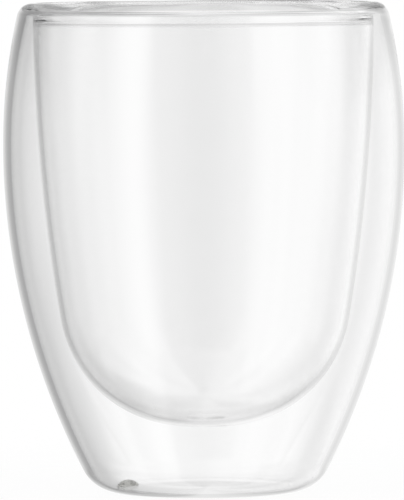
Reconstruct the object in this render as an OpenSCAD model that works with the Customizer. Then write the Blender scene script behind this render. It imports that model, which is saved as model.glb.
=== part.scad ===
/* [Cup] */
// Height of the cup, from the foot to the top of the rim
cup_h = 103.5; // [97:0.5:110]
// Outside diameter at the belly, its widest place
belly_d = 85; // [80:0.5:90]
// Height of the belly above the foot
belly_z = 73; // [69:0.5:77]

/* [Outer shell] */
// Thickness of the blown outer wall
shell_wall = 1.6; // [1.3:0.1:2]
// Radius of the sweep that runs from the belly up to the rim
upper_sweep_r = 124; // [112:1:145]
// Radius of the sweep that runs from the belly down to the heel
lower_sweep_r = 149.5; // [142:0.5:160]
// Radius of the heel, where the wall turns into the floor
heel_r = 8.5; // [7:0.1:10]
// Width of the flat ring that the cup stands on
foot_w = 0.5; // [0.4:0.1:1.1]
// Radius on the inner edge of that ring
kick_r = 0.5; // [0.4:0.1:0.9]
// Thickness of the floor
floor_wall = 1.1; // [0.9:0.1:1.7]
// Height of the hollow under the floor, at its middle
punt_h = 0.9; // [0.7:0.1:1.7]

/* [Rim] */
// Radius of the rim's outer shoulder
lip_r = 3.4; // [3:0.1:4.2]
// Radius of the rim's inner edge
lip_in_r = 1.2; // [0.9:0.1:1.7]
// Thickness of the rim, where the flame has gathered the glass
rim_wall = 1.9; // [1.6:0.1:2.2]
// Depth of the weld below the top of the rim
weld_depth = 4.1; // [3.6:0.1:6.5]
// Height of the weld's bead, measured along the wall
bead_w = 0.6; // [0.4:0.05:1.2]
// How far the bead stands into the mouth
bead_h = 0.1; // [0.06:0.02:0.24]

/* [Inner bowl] */
// Thickness of the blown inner wall
bowl_wall = 1.2; // [0.9:0.1:1.6]
// Radius of the round corner that ends the bowl's side
bowl_corner_r = 27; // [22:0.5:29]
// Air space between the bowl's corner and the middle of the floor
under_gap = 12.1; // [8:0.1:15]
// Diameter of the bowl's shallow middle, where it was blown off
pip_d = 8; // [6:0.1:11]
// How far that middle bulges down
pip_h = 0.4; // [0.2:0.05:0.7]

/* [Vent plug] */
// Diameter of the vent hole in the floor, which the plug's stem fills
vent_d = 1.6; // [1.2:0.1:2.2]
// Place of the vent round the axis, in degrees
vent_angle = 187; // [0:0.5:359.5]
// Diameter of the plug's domed head, inside the air space
plug_head_d = 4.8; // [3.8:0.1:5.2]
// Height of the plug's head above the floor
plug_head_h = 1.5; // [1:0.1:1.8]

/* [Hidden] */
$fn = 96;

// Steps along a long sweep, a tight round and a shallow dome
sweep_steps = 30;
round_steps = 12;
dome_steps = 16;
// How far a cut runs past the faces that it opens
overrun = 1;
// Turn of the kick, from the foot's plane to the hollow
kick_turn = 50;
// Largest round that the bowl's side takes, as a share of the room beside its middle
corner_limit_share = 0.92;

// Centres of the outer wall's two sweeps, which meet upright at the belly
belly_r = belly_d / 2;
upper_c_r = belly_r - upper_sweep_r;
lower_c_r = belly_r - lower_sweep_r;

// Rim: its shoulder runs on from the upper sweep without a corner
lip_c_z = cup_h - lip_r;
lip_c_r = upper_c_r + tangent_run(upper_sweep_r - lip_r, lip_c_z - belly_z);
lip_join = atan2(lip_c_z - belly_z, lip_c_r - upper_c_r);
mouth_r = lip_c_r - lip_in_r;
weld_z = cup_h - weld_depth;
leg_r = mouth_r + bowl_wall;
gap_r = lip_r - rim_wall;
bead_r = bulge_radius(bead_w / 2, bead_h);
bead_half_turn = asin(bead_w / 2 / bead_r);

// The air space's side of the upper sweep leaves the belly upright too, and
// ends tangent to the round of the air space inside the rim
upper_in_c_r = sweep_centre(belly_r - shell_wall, lip_c_r, lip_c_z - belly_z, gap_r);
upper_in_r = belly_r - shell_wall - upper_in_c_r;
gap_join = atan2(lip_c_z - belly_z, lip_c_r - upper_in_c_r);

// Heel: it runs on from the lower sweep and ends flat on the foot's plane
heel_c_r = lower_c_r + tangent_run(lower_sweep_r - heel_r, belly_z - heel_r);
heel_join = atan2(heel_r - belly_z, heel_c_r - lower_c_r);
foot_in_r = heel_c_r - foot_w;
kick_in_r = foot_in_r - kick_r * sin(kick_turn);
kick_z = kick_r * (1 - cos(kick_turn));
punt_r = bulge_radius(kick_in_r, punt_h - kick_z);

// Inside, the heel's round runs on from the air space's side of the lower sweep
heel_in_r = heel_r - shell_wall;
heel_in_z = floor_wall + heel_in_r;
heel_in_c_r = lower_c_r + tangent_run(lower_sweep_r - heel_r, belly_z - heel_in_z);
heel_in_join = atan2(heel_in_z - belly_z, heel_in_c_r - lower_c_r);
floor_z = punt_h + floor_wall;
floor_r = bulge_radius(heel_in_c_r, punt_h);

// Bowl: an upright mouth, a long sweep, a round corner and a shallow pip
corner_c_r = pip_d / 2;
corner_r = min(bowl_corner_r, corner_limit_share * (leg_r - corner_c_r));
bowl_low_z = floor_z + under_gap;
corner_c_z = bowl_low_z + corner_r;
bowl_c_r = sweep_centre(leg_r, corner_c_r, weld_z - corner_c_z, corner_r);
bowl_sweep_r = leg_r - bowl_c_r;
corner_join = atan2(corner_c_z - weld_z, corner_c_r - bowl_c_r);
pip_r = bulge_radius(corner_c_r, pip_h);

// Vent: just inside the kick, so that the plug never reaches the table
vent_r = vent_d / 2;
vent_place_r = kick_in_r - vent_r;
vent_low_z = punt_h - sag(punt_r, vent_place_r);
vent_top_z = floor_z - sag(floor_r, vent_place_r);
vent_mid_z = (vent_low_z + vent_top_z) / 2;
head_r = bulge_radius(plug_head_d / 2, plug_head_h);
head_half_turn = asin(plug_head_d / 2 / head_r);

// Sideways distance between the centres of two circles that touch from
// inside, when their radii differ by diff_r and their centres by rise
function tangent_run(diff_r, rise) = sqrt(diff_r * diff_r - rise * rise);

// Distance from the axis to the centre of a sweep that starts upright at
// start_r and ends tangent to a round of radius r, inside it. The round's centre
// is at c_r, and away from the start by rise.
function sweep_centre(start_r, c_r, rise, r) =
    (pow(start_r - r, 2) - c_r * c_r - rise * rise) / (2 * (start_r - r - c_r));

// Radius of the arc that rises by height over a half chord
function bulge_radius(half, height) = (half * half + height * height) / (2 * height);

// Drop of an arc of radius r below its crown, at a distance from its axis
function sag(r, away) = r - sqrt(r * r - away * away);

// Points of an arc round [c_r, c_z], from one angle to another
function arc(c_r, c_z, r, a_start, a_end, steps) = [
    for (i = [0:steps])
        let (a = a_start + (a_end - a_start) * i / steps)
        [c_r + r * cos(a), c_z + r * sin(a)]
];

// Points of a shallow dome from the axis out to a distance, crown at top_z
function dome(top_z, r, away) = [
    for (i = [0:dome_steps])
        let (x = away * i / dome_steps)
        [x, top_z - sag(r, x)]
];

function reversed(points) = [for (i = [len(points) - 1:-1:0]) points[i]];

// Outside of the shell: hollow, kick, foot, side, rim and the weld's upper half
function shell_outside() = concat(
    dome(punt_h, punt_r, kick_in_r),
    arc(foot_in_r, kick_r, kick_r, -90 - kick_turn, -90, round_steps),
    arc(heel_c_r, heel_r, heel_r, -90, heel_join, round_steps),
    arc(lower_c_r, belly_z, lower_sweep_r, heel_join, 0, sweep_steps),
    arc(upper_c_r, belly_z, upper_sweep_r, 0, lip_join, sweep_steps),
    arc(lip_c_r, lip_c_z, lip_r, lip_join, 90, round_steps),
    arc(lip_c_r, cup_h - lip_in_r, lip_in_r, 90, 180, round_steps),
    arc(mouth_r - bead_h + bead_r, weld_z, bead_r, 180 - bead_half_turn, 180, round_steps)
);

// Inside of the shell: the air space's wall, from under the rim to the floor
function shell_inside() = concat(
    [[leg_r, weld_z]],
    arc(lip_c_r, lip_c_z, gap_r, acos((leg_r - lip_c_r) / gap_r), gap_join, round_steps),
    arc(upper_in_c_r, belly_z, upper_in_r, gap_join, 0, sweep_steps),
    arc(lower_c_r, belly_z, lower_sweep_r - shell_wall, 0, heel_in_join, sweep_steps),
    arc(heel_in_c_r, heel_in_z, heel_in_r, heel_in_join, -90, round_steps),
    reversed(dome(floor_z, floor_r, heel_in_c_r))
);

module shell_wall_solid() {
    rotate_extrude()
        polygon(concat(shell_outside(), shell_inside()));
}

module at_vent() {
    rotate([0, 0, vent_angle])
        translate([vent_place_r, 0, 0])
            children();
}

module outer_shell() {
    color("azure", 0.4)
        difference() {
            shell_wall_solid();
            at_vent()
                translate([0, 0, -overrun])
                    cylinder(r = vent_r, h = vent_top_z + 2 * overrun);
        }
}

// The bowl on a face that lies inset deep in its wall, from weld to corner
function bowl_line(inset) = concat(
    arc(bowl_c_r, weld_z, bowl_sweep_r - inset, 0, corner_join, sweep_steps),
    arc(corner_c_r, corner_c_z, corner_r - inset, corner_join, -90, sweep_steps)
);

// Underside of the bowl's middle, from the axis out to the round corner
function pip_line() = [
    for (i = [0:dome_steps - 1])
        let (x = corner_c_r * i / dome_steps)
        [x, bowl_low_z - pip_h + sag(pip_r, x)]
];

// The weld's lower half, from its crown down into the mouth's face
function bead_line() =
    arc(mouth_r - bead_h + bead_r, weld_z, bead_r, 180, 180 + bead_half_turn, round_steps);

module inner_bowl() {
    color("aliceblue", 0.4)
        rotate_extrude()
            polygon(concat(
                pip_line(),
                reversed(bowl_line(0)),
                bead_line(),
                [for (p = bowl_line(bowl_wall)) if (p[1] < weld_z - bead_w / 2) p],
                [[0, bowl_low_z + bowl_wall]]
            ));
}

// A stem that fills the vent and a dome that spreads over the floor inside
module vent_plug() {
    color("gainsboro")
        difference() {
            at_vent()
                rotate_extrude()
                    polygon(concat(
                        [[0, vent_low_z], [vent_r, vent_low_z], [vent_r, vent_mid_z]],
                        [[plug_head_d / 2, vent_mid_z]],
                        arc(0, vent_top_z + plug_head_h - head_r, head_r,
                            90 - head_half_turn, 90, round_steps)
                    ));
            difference() {
                shell_wall_solid();
                at_vent()
                    cylinder(r = vent_r, h = vent_top_z + overrun);
            }
        }
}

outer_shell();
inner_bowl();
vent_plug();
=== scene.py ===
import math

import bmesh
import bpy
import mathutils
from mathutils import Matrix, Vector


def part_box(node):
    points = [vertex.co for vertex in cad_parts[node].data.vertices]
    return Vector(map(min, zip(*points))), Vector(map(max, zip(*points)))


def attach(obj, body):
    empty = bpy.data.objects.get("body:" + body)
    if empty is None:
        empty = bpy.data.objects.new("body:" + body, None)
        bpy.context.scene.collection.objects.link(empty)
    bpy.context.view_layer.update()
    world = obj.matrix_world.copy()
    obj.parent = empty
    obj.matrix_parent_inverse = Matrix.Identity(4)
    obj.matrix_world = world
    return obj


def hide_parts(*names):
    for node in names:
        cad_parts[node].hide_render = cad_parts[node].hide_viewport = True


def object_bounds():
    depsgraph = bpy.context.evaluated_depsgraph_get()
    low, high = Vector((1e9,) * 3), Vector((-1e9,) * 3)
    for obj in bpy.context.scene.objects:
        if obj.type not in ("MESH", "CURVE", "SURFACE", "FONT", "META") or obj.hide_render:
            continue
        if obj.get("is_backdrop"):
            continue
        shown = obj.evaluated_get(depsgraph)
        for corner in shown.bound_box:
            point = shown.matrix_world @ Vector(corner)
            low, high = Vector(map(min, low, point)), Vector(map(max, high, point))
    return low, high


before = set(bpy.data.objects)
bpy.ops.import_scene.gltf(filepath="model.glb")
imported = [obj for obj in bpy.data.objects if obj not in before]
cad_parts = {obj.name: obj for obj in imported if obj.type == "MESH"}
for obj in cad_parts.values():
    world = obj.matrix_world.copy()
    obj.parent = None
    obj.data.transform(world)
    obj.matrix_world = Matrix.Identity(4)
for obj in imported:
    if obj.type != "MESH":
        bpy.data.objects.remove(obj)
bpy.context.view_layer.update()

# Outer shell: a gather of clear borosilicate, blown thin so that it swells to a belly and turns in at a round
# heel over a hollowed floor. The flame thickens its rim and rolls it inward, and it is welded to the bowl a
# few millimetres down the mouth. One small vent is drilled through the floor.
MM = 0.001
shell_low, shell_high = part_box("outer_shell")
cup_height = shell_high.z
belly_radius = (shell_high.x - shell_low.x) / 2
belly_height = 73 * MM
shell_wall = 1.6 * MM
upper_sweep = 124 * MM
lower_sweep = 149.5 * MM
heel_radius = 8.5 * MM
foot_width = 0.5 * MM
kick_radius = 0.5 * MM
kick_turn = 50
punt_height = 0.9 * MM
floor_wall = 1.1 * MM
lip_radius = 3.4 * MM
lip_inner_radius = 1.2 * MM
rim_wall = 1.9 * MM
weld_depth = 4.1 * MM
bead_width = 0.6 * MM
bead_height = 0.1 * MM
bowl_wall = 1.2 * MM
vent_radius = 0.8 * MM
vent_angle = math.radians(187)
segments = 256
step_length = 0.9 * MM
fewest_steps = 10
settle = 8 * MM
seam_reach = 0.001 * MM
sharp_edge = math.radians(38)


def arc(centre, radius, start, end):
    """Points along an arc in the profile's plane, in degrees, close enough to look round."""
    steps = max(fewest_steps, math.ceil(radius * math.radians(abs(end - start)) / step_length))
    turns = [math.radians(start + (end - start) * i / steps) for i in range(steps + 1)]
    return [(centre[0] + radius * math.cos(t), centre[1] + radius * math.sin(t)) for t in turns]


def bulge_radius(half, height):
    """Radius of the arc that rises by height over half a chord."""
    return (half**2 + height**2) / (2 * height)


def sag(radius, away):
    """Drop of an arc below its crown, at a distance from its axis."""
    return radius - math.sqrt(radius**2 - away**2)


def dome(crown, radius, away):
    """Points of a shallow dome, from the axis outward."""
    steps = math.ceil(away / step_length)
    return [(away * i / steps, crown - sag(radius, away * i / steps)) for i in range(steps + 1)]


def tangent_run(reach, rise):
    """Sideways distance between the centres of two circles that touch from inside."""
    return math.sqrt(reach**2 - rise**2)


def sweep_centre(start, centre, rise, radius):
    """Place of the centre of a sweep that starts upright and ends tangent to a round."""
    return ((start - radius) ** 2 - centre**2 - rise**2) / (2 * (start - radius - centre))


def degrees_to(centre, point):
    """Direction from one place in the profile's plane to another."""
    return math.degrees(math.atan2(point[1] - centre[1], point[0] - centre[0]))


upper_centre = (belly_radius - upper_sweep, belly_height)
lower_centre = (belly_radius - lower_sweep, belly_height)
lip_z = cup_height - lip_radius
lip_r = upper_centre[0] + tangent_run(upper_sweep - lip_radius, lip_z - belly_height)
lip_join = degrees_to(upper_centre, (lip_r, lip_z))
heel_r = lower_centre[0] + tangent_run(lower_sweep - heel_radius, belly_height - heel_radius)
heel_join = degrees_to(lower_centre, (heel_r, heel_radius))
mouth_radius = lip_r - lip_inner_radius
weld_z = cup_height - weld_depth
leg_radius = mouth_radius + bowl_wall
bead_radius = bulge_radius(bead_width / 2, bead_height)
bead_turn = math.degrees(math.asin(bead_width / 2 / bead_radius))
bead_centre = (mouth_radius - bead_height + bead_radius, weld_z)
gap_radius = lip_radius - rim_wall
arch_radius = 0.6 * MM
arch_z = lip_z + tangent_run(gap_radius - arch_radius, leg_radius + arch_radius - lip_r)
arch_join = degrees_to((lip_r, lip_z), (leg_radius + arch_radius, arch_z))
inner_start = belly_radius - shell_wall
inner_centre = (sweep_centre(inner_start, lip_r, lip_z - belly_height, gap_radius), belly_height)
gap_join = degrees_to(inner_centre, (lip_r, lip_z))
foot_inner = heel_r - foot_width
kick_inner = foot_inner - kick_radius * math.sin(math.radians(kick_turn))
kick_rise = kick_radius * (1 - math.cos(math.radians(kick_turn)))
punt_radius = bulge_radius(kick_inner, punt_height - kick_rise)
heel_in_radius = heel_radius - shell_wall
heel_in_z = floor_wall + heel_in_radius
heel_in_r = lower_centre[0] + tangent_run(lower_sweep - heel_radius, belly_height - heel_in_z)
heel_in_join = degrees_to(lower_centre, (heel_in_r, heel_in_z))
floor_z = punt_height + floor_wall
floor_radius = bulge_radius(heel_in_r, punt_height)
shell_profile = (
    dome(punt_height, punt_radius, kick_inner)
    + arc((foot_inner, kick_radius), kick_radius, -90 - kick_turn, -90)
    + arc((heel_r, heel_radius), heel_radius, -90, heel_join)
    + arc(lower_centre, lower_sweep, heel_join, 0)
    + arc(upper_centre, upper_sweep, 0, lip_join)
    + arc((lip_r, lip_z), lip_radius, lip_join, 90)
    + arc((lip_r, cup_height - lip_inner_radius), lip_inner_radius, 90, 180)
    + arc(bead_centre, bead_radius, 180 - bead_turn, 180)
    + [(leg_radius, weld_z)]
    + arc((leg_radius + arch_radius, arch_z), arch_radius, 180, arch_join)
    + arc((lip_r, lip_z), gap_radius, arch_join, gap_join)
    + arc(inner_centre, inner_start - inner_centre[0], gap_join, 0)
    + arc(lower_centre, lower_sweep - shell_wall, 0, heel_in_join)
    + arc((heel_in_r, heel_in_z), heel_in_radius, heel_in_join, -90)
    + dome(floor_z, floor_radius, heel_in_r)[::-1]
)


def add(tree, kind, inputs=None, **settings):
    """A new node with its settings, and its inputs by name or number, each linked or given a value."""
    made = tree.nodes.new(kind)
    for key, value in settings.items():
        setattr(made, key, value)
    for key, value in (inputs or {}).items():
        if isinstance(value, bpy.types.NodeSocket):
            tree.links.new(value, made.inputs[key])
        else:
            made.inputs[key].default_value = value
    return made


def calc(tree, operation, *values):
    """The result of one Math node."""
    return add(tree, "ShaderNodeMath", dict(enumerate(values)), operation=operation).outputs[0]


def soft_step(tree, value, start, end):
    """A mask that rises smoothly from 0 at start to 1 at end, which may be the lower of the two."""
    inputs = {0: value, 1: start, 2: end, 3: 0.0, 4: 1.0}
    return add(tree, "ShaderNodeMapRange", inputs, interpolation_type="SMOOTHSTEP").outputs[0]


def blown_lathe():
    """A tree that turns a profile about Z, and lets the wall wander a little, as blown glass does."""
    tree = bpy.data.node_groups.new("blown_lathe", "GeometryNodeTree")
    tree.interface.new_socket("Geometry", in_out="OUTPUT", socket_type="NodeSocketGeometry")
    for name, kind in (
        ("Profile", "NodeSocketObject"),
        ("Points", "NodeSocketInt"),
        ("Around", "NodeSocketInt"),
        ("Unevenness", "NodeSocketFloat"),
        ("Waves", "NodeSocketFloat"),
        ("Calm foot", "NodeSocketFloat"),
        ("Calm rim", "NodeSocketFloat"),
        ("Seed", "NodeSocketFloat"),
        ("Material", "NodeSocketMaterial"),
    ):
        tree.interface.new_socket(name, in_out="INPUT", socket_type=kind)
    given = tree.nodes.new("NodeGroupInput").outputs
    points = given["Points"]
    profile = add(tree, "GeometryNodeObjectInfo", {"Object": given["Profile"]}).outputs["Geometry"]
    grid_size = {"Vertices X": calc(tree, "ADD", given["Around"], 1), "Vertices Y": points}
    grid = add(tree, "GeometryNodeMeshGrid", grid_size).outputs["Mesh"]
    index = tree.nodes.new("GeometryNodeInputIndex").outputs[0]
    row = calc(tree, "MODULO", index, points)
    column = calc(tree, "FLOOR", calc(tree, "DIVIDE", index, points))
    angle = calc(tree, "MULTIPLY", calc(tree, "DIVIDE", column, given["Around"]), math.tau)
    position = tree.nodes.new("GeometryNodeInputPosition").outputs[0]
    lookup = {"Geometry": profile, "Value": position, "Index": row}
    sampled = add(tree, "GeometryNodeSampleIndex", lookup, data_type="FLOAT_VECTOR").outputs[0]
    parts = add(tree, "ShaderNodeSeparateXYZ", {0: sampled}).outputs
    radius, height = parts["X"], parts["Z"]
    away_x = calc(tree, "COSINE", angle)
    away_y = calc(tree, "SINE", angle)
    round_x = calc(tree, "MULTIPLY", away_x, belly_radius)
    round_y = calc(tree, "MULTIPLY", away_y, belly_radius)
    place = add(tree, "ShaderNodeCombineXYZ", {0: round_x, 1: round_y, 2: height}).outputs[0]
    waves = {"Vector": place, "W": given["Seed"], "Scale": given["Waves"], "Detail": 1.0}
    noise = add(tree, "ShaderNodeTexNoise", waves, noise_dimensions="4D").outputs[0]
    calm_foot, calm_rim = given["Calm foot"], given["Calm rim"]
    from_foot = soft_step(tree, height, calm_foot, calc(tree, "ADD", calm_foot, settle))
    from_rim = soft_step(tree, height, calm_rim, calc(tree, "SUBTRACT", calm_rim, settle))
    free = calc(tree, "MULTIPLY", calc(tree, "MULTIPLY", from_foot, from_rim), given["Unevenness"])
    wander = calc(tree, "MULTIPLY_ADD", calc(tree, "SUBTRACT", noise, 1.0), free, 1.0)
    radius = calc(tree, "MULTIPLY", radius, wander)
    turned_x = calc(tree, "MULTIPLY", radius, away_x)
    turned_y = calc(tree, "MULTIPLY", radius, away_y)
    turned = add(tree, "ShaderNodeCombineXYZ", {0: turned_x, 1: turned_y, 2: height}).outputs[0]
    placed = add(tree, "GeometryNodeSetPosition", {"Geometry": grid, "Position": turned}).outputs[0]
    closing = {"Geometry": placed, "Distance": seam_reach}
    closed = add(tree, "GeometryNodeMergeByDistance", closing).outputs[0]
    smooth = add(tree, "GeometryNodeSetShadeSmooth", {"Geometry": closed}).outputs[0]
    real = add(tree, "GeometryNodeRealizeInstances", {"Geometry": smooth}).outputs[0]
    finished = {"Geometry": real, "Material": given["Material"]}
    coloured = add(tree, "GeometryNodeSetMaterial", finished).outputs[0]
    tree.links.new(coloured, tree.nodes.new("NodeGroupOutput").inputs[0])
    return tree


lathe = blown_lathe()


def turned_piece(name, profile, material, values):
    """A piece turned from a profile by the lathe tree, as a plain closed mesh whose faces point outward."""
    line = bpy.data.meshes.new(name + "_profile")
    line.from_pydata([(r, 0, z) for r, z in profile], [(i, i + 1) for i in range(len(profile) - 1)], [])
    line_object = bpy.data.objects.new(name + "_profile", line)
    piece = bpy.data.objects.new(name, bpy.data.meshes.new(name))
    for made in (line_object, piece):
        bpy.context.scene.collection.objects.link(made)
    modifier = piece.modifiers.new("lathe", "NODES")
    modifier.node_group = lathe
    values = values | {"Profile": line_object, "Points": len(profile), "Material": material}
    for item in lathe.interface.items_tree:
        if item.in_out == "INPUT" and item.name in values:
            modifier[item.identifier] = values[item.name]
    graph = bpy.context.evaluated_depsgraph_get()
    mesh = bpy.data.meshes.new_from_object(piece.evaluated_get(graph), depsgraph=graph)
    piece.modifiers.clear()
    piece.data = mesh
    mesh.name = name
    mesh.materials.clear()
    mesh.materials.append(material)
    mesh.polygons.foreach_set("material_index", [0] * len(mesh.polygons))
    bpy.data.objects.remove(line_object)
    work = bmesh.new()
    work.from_mesh(mesh)
    bmesh.ops.recalc_face_normals(work, faces=work.faces)
    work.to_mesh(mesh)
    work.free()
    mesh.set_sharp_from_angle(angle=sharp_edge)
    return piece


smear_start = 0.62
smear_full = 0.78
smear_roughness = 0.03
ripple_height = 0.006 * MM


def blown_surface():
    """A group for the soft ripple that blowing leaves in a wall, and the faint smears of a wiped glass."""
    tree = bpy.data.node_groups.new("blown_surface", "ShaderNodeTree")
    for name in ("Ripple scale", "Smear scale"):
        tree.interface.new_socket(name, in_out="INPUT", socket_type="NodeSocketFloat")
    for name in ("Height", "Smear"):
        tree.interface.new_socket(name, in_out="OUTPUT", socket_type="NodeSocketFloat")
    given = tree.nodes.new("NodeGroupInput").outputs
    where = tree.nodes.new("ShaderNodeTexCoord").outputs["Object"]
    tall = add(tree, "ShaderNodeMapping", {"Vector": where, "Scale": (1.0, 1.0, 0.35)}).outputs[0]
    ripples = {"Vector": tall, "Scale": given["Ripple scale"], "Detail": 2.0, "Roughness": 0.35}
    ripple = add(tree, "ShaderNodeTexNoise", ripples).outputs[0]
    flat = add(tree, "ShaderNodeMapping", {"Vector": where, "Scale": (1.0, 1.0, 4.0)}).outputs[0]
    smears = {"Vector": flat, "Scale": given["Smear scale"], "Detail": 4.0, "Roughness": 0.6}
    smear = add(tree, "ShaderNodeTexNoise", smears).outputs[0]
    out = tree.nodes.new("NodeGroupOutput").inputs
    tree.links.new(ripple, out["Height"])
    tree.links.new(soft_step(tree, smear, smear_start, smear_full), out["Smear"])
    return tree


surface_group = blown_surface()


def glass(name, ripple_scale):
    """Clear borosilicate, polished by the flame, with a ripple of its own."""
    material = bpy.data.materials.new(name)
    material.use_nodes = True
    tree = material.node_tree
    shader = tree.nodes["Principled BSDF"]
    shader.inputs["Base Color"].default_value = (1.0, 1.0, 1.0, 1.0)
    shader.inputs["Metallic"].default_value = 0.0
    shader.inputs["IOR"].default_value = 1.473
    shader.inputs["Transmission Weight"].default_value = 1.0
    surface = add(tree, "ShaderNodeGroup", node_tree=surface_group)
    surface.inputs["Ripple scale"].default_value = ripple_scale
    surface.inputs["Smear scale"].default_value = 38.0
    rough = calc(tree, "MULTIPLY", surface.outputs["Smear"], smear_roughness)
    tree.links.new(rough, shader.inputs["Roughness"])
    bump = add(tree, "ShaderNodeBump", {"Height": surface.outputs["Height"], "Distance": ripple_height})
    tree.links.new(bump.outputs[0], shader.inputs["Normal"])
    return material


ring_reach = 0.01 * MM
weld = bpy.data.materials.new("fused_glass")
weld.use_nodes = True
weld.node_tree.nodes.remove(weld.node_tree.nodes["Principled BSDF"])
clear = add(weld.node_tree, "ShaderNodeBsdfTransparent", {"Color": (1.0, 1.0, 1.0, 1.0)})
weld.node_tree.links.new(clear.outputs[0], weld.node_tree.nodes["Material Output"].inputs["Surface"])


def fuse(piece):
    """Gives the ring where the two glasses are one the material that light crosses unbent."""
    piece.data.materials.append(weld)
    for face in piece.data.polygons:
        if all(abs(piece.data.vertices[v].co.z - weld_z) < ring_reach for v in face.vertices):
            face.material_index = 1


shell_blowing = {
    "Around": segments,
    "Unevenness": 0.002,
    "Waves": 16.0,
    "Calm foot": heel_radius,
    "Calm rim": lip_z,
    "Seed": 3.0,
}
shell_glass = glass("shell_glass", ripple_scale=22.0)
shell = turned_piece("outer_shell_glass", shell_profile, shell_glass, shell_blowing)
vent_segments = 48
vent_place = kick_inner - vent_radius
vent_x = vent_place * math.cos(vent_angle)
vent_y = vent_place * math.sin(vent_angle)
drill_mesh = bpy.data.meshes.new("drill")
drilled_depth = 4 * floor_z
work = bmesh.new()
bmesh.ops.create_cone(
    work,
    cap_ends=True,
    segments=vent_segments,
    radius1=vent_radius,
    radius2=vent_radius,
    depth=drilled_depth,
)
bmesh.ops.translate(work, verts=work.verts, vec=(vent_x, vent_y, 0))
work.to_mesh(drill_mesh)
work.free()
drill = bpy.data.objects.new("drill", drill_mesh)
bpy.context.scene.collection.objects.link(drill)
cut = shell.modifiers.new("vent", "BOOLEAN")
cut.operation = "DIFFERENCE"
cut.solver = "EXACT"
cut.object = drill
graph = bpy.context.evaluated_depsgraph_get()
drilled = bpy.data.meshes.new_from_object(shell.evaluated_get(graph), depsgraph=graph)
shell.modifiers.clear()
shell.data = drilled
drilled.set_sharp_from_angle(angle=sharp_edge)
bpy.data.objects.remove(drill)
fuse(shell)
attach(shell, "root")
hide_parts("outer_shell")

# Inner bowl: a second, thinner gather of the same glass, blown with an upright mouth and a round bottom. It
# hangs from the weld in the mouth and touches nothing else. A small pip in its middle is where it came off
# the iron.
bowl_corner = 27 * MM
under_gap = 12.1 * MM
pip_width = 8 * MM
pip_height = 0.4 * MM
bowl_low = floor_z + under_gap
corner_centre = (pip_width / 2, bowl_low + bowl_corner)
bowl_middle = sweep_centre(leg_radius, corner_centre[0], weld_z - corner_centre[1], bowl_corner)
bowl_centre = (bowl_middle, weld_z)
bowl_sweep = leg_radius - bowl_middle
corner_join = degrees_to(bowl_centre, corner_centre)
pip_radius = bulge_radius(corner_centre[0], pip_height)


def bowl_side(inset):
    """The bowl's profile from the weld down to its corner, on a face that lies inset deep in its wall."""
    sweep = arc(bowl_centre, bowl_sweep - inset, 0, corner_join)
    return sweep + arc(corner_centre, bowl_corner - inset, corner_join, -90)


pip_low = bowl_low - pip_height
pip = [(r, 2 * pip_low - z) for r, z in dome(pip_low, pip_radius, corner_centre[0])]
bowl_profile = (
    pip[:-1]
    + bowl_side(0)[::-1]
    + arc(bead_centre, bead_radius, 180, 180 + bead_turn)
    + [(r, z) for r, z in bowl_side(bowl_wall) if z < weld_z - bead_width / 2]
    + [(0, bowl_low + bowl_wall)]
)
bowl_blowing = {
    "Around": segments,
    "Unevenness": 0.002,
    "Waves": 18.0,
    "Calm foot": bowl_low,
    "Calm rim": lip_z - settle,
    "Seed": 8.0,
}
bowl_glass = glass("bowl_glass", ripple_scale=26.0)
bowl = turned_piece("inner_bowl_glass", bowl_profile, bowl_glass, bowl_blowing)
fuse(bowl)
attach(bowl, "root")
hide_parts("inner_bowl")

# Vent plug: a drop of silicone, pressed into the vent once the glass has cooled. Its stem fills the hole, and
# its head has spread into a small dome on the floor inside.
head_radius = 2.4 * MM
head_height = 1.5 * MM
skin = 0.02 * MM
vent_low = punt_height - sag(punt_radius, vent_place)
vent_top = floor_z - sag(floor_radius, vent_place)
head_round = bulge_radius(head_radius, head_height)
head_turn = math.degrees(math.asin(head_radius / head_round))
head_centre = (0, vent_top + skin + head_height - head_round)
stem_radius = vent_radius - skin
stem = [
    (0, vent_low),
    (stem_radius / 2, vent_low),
    (stem_radius, vent_low),
    (stem_radius, vent_top + skin),
]
plug_profile = stem + arc(head_centre, head_round, 90 - head_turn, 90)
silicone = bpy.data.materials.new("vent_silicone")
silicone.use_nodes = True
tree = silicone.node_tree
shader = tree.nodes["Principled BSDF"]
shader.inputs["Base Color"].default_value = (0.95, 0.95, 0.91, 1.0)
shader.inputs["Roughness"].default_value = 0.2
shader.inputs["Transmission Weight"].default_value = 0.8
shader.inputs["IOR"].default_value = 1.41
plug = turned_piece("vent_plug_silicone", plug_profile, silicone, {"Around": vent_segments})
floor_slope = vent_place / floor_radius
for vertex in plug.data.vertices:
    outward = vertex.co.x * math.cos(vent_angle) + vertex.co.y * math.sin(vent_angle)
    vertex.co += mathutils.Vector((vent_x, vent_y, -outward * floor_slope))
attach(plug, "root")
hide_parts("vent_plug")

# Floor: a white sweep of card that fades into the light round it. Seen straight it is the white of the paper,
# greyed a little by the cup's own shade. The glass doesn't show it, because the photograph's base is free of
# its glare.
card_radius = 0.16
card_full_radius = 0.05
card_end_radius = 0.15
whiteness = 0.97
card_mesh = bpy.data.meshes.new("floor")
work = bmesh.new()
bmesh.ops.create_circle(work, cap_ends=True, segments=96, radius=card_radius)
work.to_mesh(card_mesh)
work.free()
floor = bpy.data.objects.new("floor", card_mesh)
bpy.context.scene.collection.objects.link(floor)
card = bpy.data.materials.new("white_card")
card.use_nodes = True
tree = card.node_tree
paper = tree.nodes["Principled BSDF"]
paper.inputs["Base Color"].default_value = (0.95, 0.95, 0.95, 1.0)
paper.inputs["Roughness"].default_value = 0.8
glow = add(tree, "ShaderNodeEmission", {"Color": (1.0, 1.0, 1.0, 1.0), "Strength": 1.0}).outputs[0]
lit = add(tree, "ShaderNodeMixShader", {0: whiteness, 1: paper.outputs[0], 2: glow}).outputs[0]
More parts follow.
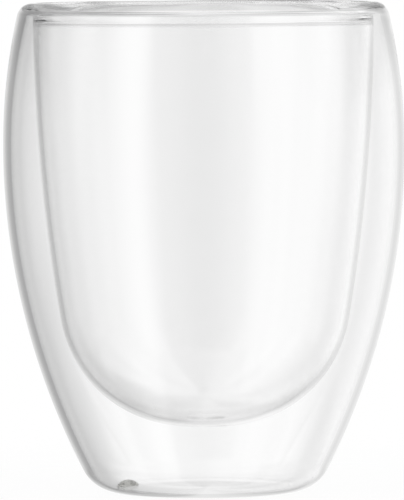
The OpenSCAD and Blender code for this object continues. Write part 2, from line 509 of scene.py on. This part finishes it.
where = tree.nodes.new("ShaderNodeTexCoord").outputs["Object"]
away = add(tree, "ShaderNodeVectorMath", {0: where}, operation="LENGTH").outputs["Value"]
straight = tree.nodes.new("ShaderNodeLightPath").outputs["Is Camera Ray"]
there = calc(tree, "MULTIPLY", soft_step(tree, away, card_end_radius, card_full_radius), straight)
open_air = add(tree, "ShaderNodeBsdfTransparent").outputs[0]
fading = add(tree, "ShaderNodeMixShader", {0: there, 1: open_air, 2: lit}).outputs[0]
tree.links.new(fading, tree.nodes["Material Output"].inputs["Surface"])
card_mesh.materials.append(card)
floor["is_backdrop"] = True

# Light: a tent of white cloth round the cup, with panels lit or screened one by one. A panel has its bearing
# from the tent's back, half its width and its sides' softness, its lowest and highest place, all in degrees,
# and its level. Screens darken the left side, the top of the back and the lens's side; gauzes dim the back.
world = bpy.data.worlds.new("tent")
bpy.context.scene.world = world
world.use_nodes = True
tree = world.node_tree
direction = tree.nodes.new("ShaderNodeTexCoord").outputs["Generated"]
parts = add(tree, "ShaderNodeSeparateXYZ", {0: direction}).outputs
bearing = calc(tree, "DEGREES", calc(tree, "ARCTAN2", parts["X"], parts["Y"]))
rise = calc(tree, "DEGREES", calc(tree, "ARCSINE", parts["Z"]))
cloth = 0.85
standing = (-90, 55)
hung_high = (30, 50)
panels = (
    (-165, 25, 20, standing, 0.20),
    (-135, 10, 5, standing, 1.00),
    (-90, 15, 5, standing, 1.15),
    (-40, 25, 10, standing, 0.40),
    (-5, 5, 5, standing, 0.60),
    (5, 10, 5, standing, 1.00),
    (20, 5, 20, standing, 0.65),
    (45, 10, 10, standing, 1.35),
    (85, 15, 5, standing, 1.15),
    (125, 10, 5, standing, 1.10),
    (-25, 20, 5, hung_high, 0.40),
    (20, 20, 5, hung_high, 0.60),
)
gauzes = (
    (-90, -25, 0.80),
    (5, 25, 0.75),
)
gauze_side = 90.0
gauze_side_soft = 15.0
panel_edge = 5.0
gauze_edge = 3.0


def between(low, high, edge):
    """A mask for the band of the tent from one height to another, in degrees, with soft edges."""
    over = soft_step(tree, rise, low - edge, low + edge)
    under = soft_step(tree, rise, high + edge, high - edge)
    return calc(tree, "MULTIPLY", over, under)


level = cloth
for centre, half, soft, (low, high), strength in panels:
    turned = calc(tree, "WRAP", calc(tree, "SUBTRACT", bearing, centre), 180.0, -180.0)
    across = soft_step(tree, calc(tree, "ABSOLUTE", turned), half + soft, half - soft)
    panel = calc(tree, "MULTIPLY", across, between(low, high, panel_edge))
    level = calc(tree, "MULTIPLY_ADD", panel, calc(tree, "SUBTRACT", strength, level), level)
from_back = calc(tree, "ABSOLUTE", bearing)
behind = soft_step(tree, from_back, gauze_side + gauze_side_soft, gauze_side - gauze_side_soft)
for low, high, share in gauzes:
    gauze = calc(tree, "MULTIPLY", behind, between(low, high, gauze_edge))
    level = calc(tree, "MULTIPLY", level, calc(tree, "MULTIPLY_ADD", gauze, share - 1.0, 1.0))
straight = tree.nodes.new("ShaderNodeLightPath").outputs["Is Camera Ray"]
level = calc(tree, "MULTIPLY_ADD", straight, calc(tree, "SUBTRACT", 1.0, level), level)
tree.links.new(level, tree.nodes["Background"].inputs["Strength"])
tree.nodes["Background"].inputs["Color"].default_value = (1.0, 1.0, 1.0, 1.0)

# Camera: a hair above the rim, and so near that it sees the foot from 5 degrees above, and rolled a little.
# The rim's top lies on the picture's row rim_row, and the cup's axis axis_offset pixels right of its middle.
picture_height = 500
pixels_per_mm = 4.73
rim_view_slope = math.tan(math.radians(0.6))
foot_view_slope = math.tan(math.radians(5.4))
rim_row = 1.9
axis_offset = 0.7
roll = math.radians(0.32)
distance = cup_height / (foot_view_slope - rim_view_slope)
focal_pixels = pixels_per_mm / MM * distance
horizon_row = rim_row - focal_pixels * rim_view_slope
pitch = math.atan((picture_height / 2 - horizon_row) / focal_pixels)
yaw = math.atan(axis_offset / focal_pixels)
camera_data = bpy.data.cameras.new("camera")
camera_data.sensor_width = 36
camera_data.lens = focal_pixels * camera_data.sensor_width / picture_height
camera_data.clip_start = 0.01
camera = bpy.data.objects.new("camera", camera_data)
camera.location = (0, -distance, cup_height + distance * rim_view_slope)
camera.rotation_euler = (math.pi / 2 - pitch, roll, yaw)
bpy.context.scene.collection.objects.link(camera)
bpy.context.scene.camera = camera

# The light that the rim's thick glass holds leaves it only after many bounces.
scene = bpy.context.scene
scene.view_settings.view_transform = "Standard"
most_bounces = 240
scene.cycles.max_bounces = most_bounces
scene.cycles.transmission_bounces = most_bounces
scene.cycles.glossy_bounces = most_bounces
scene.cycles.transparent_max_bounces = most_bounces

low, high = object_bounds()
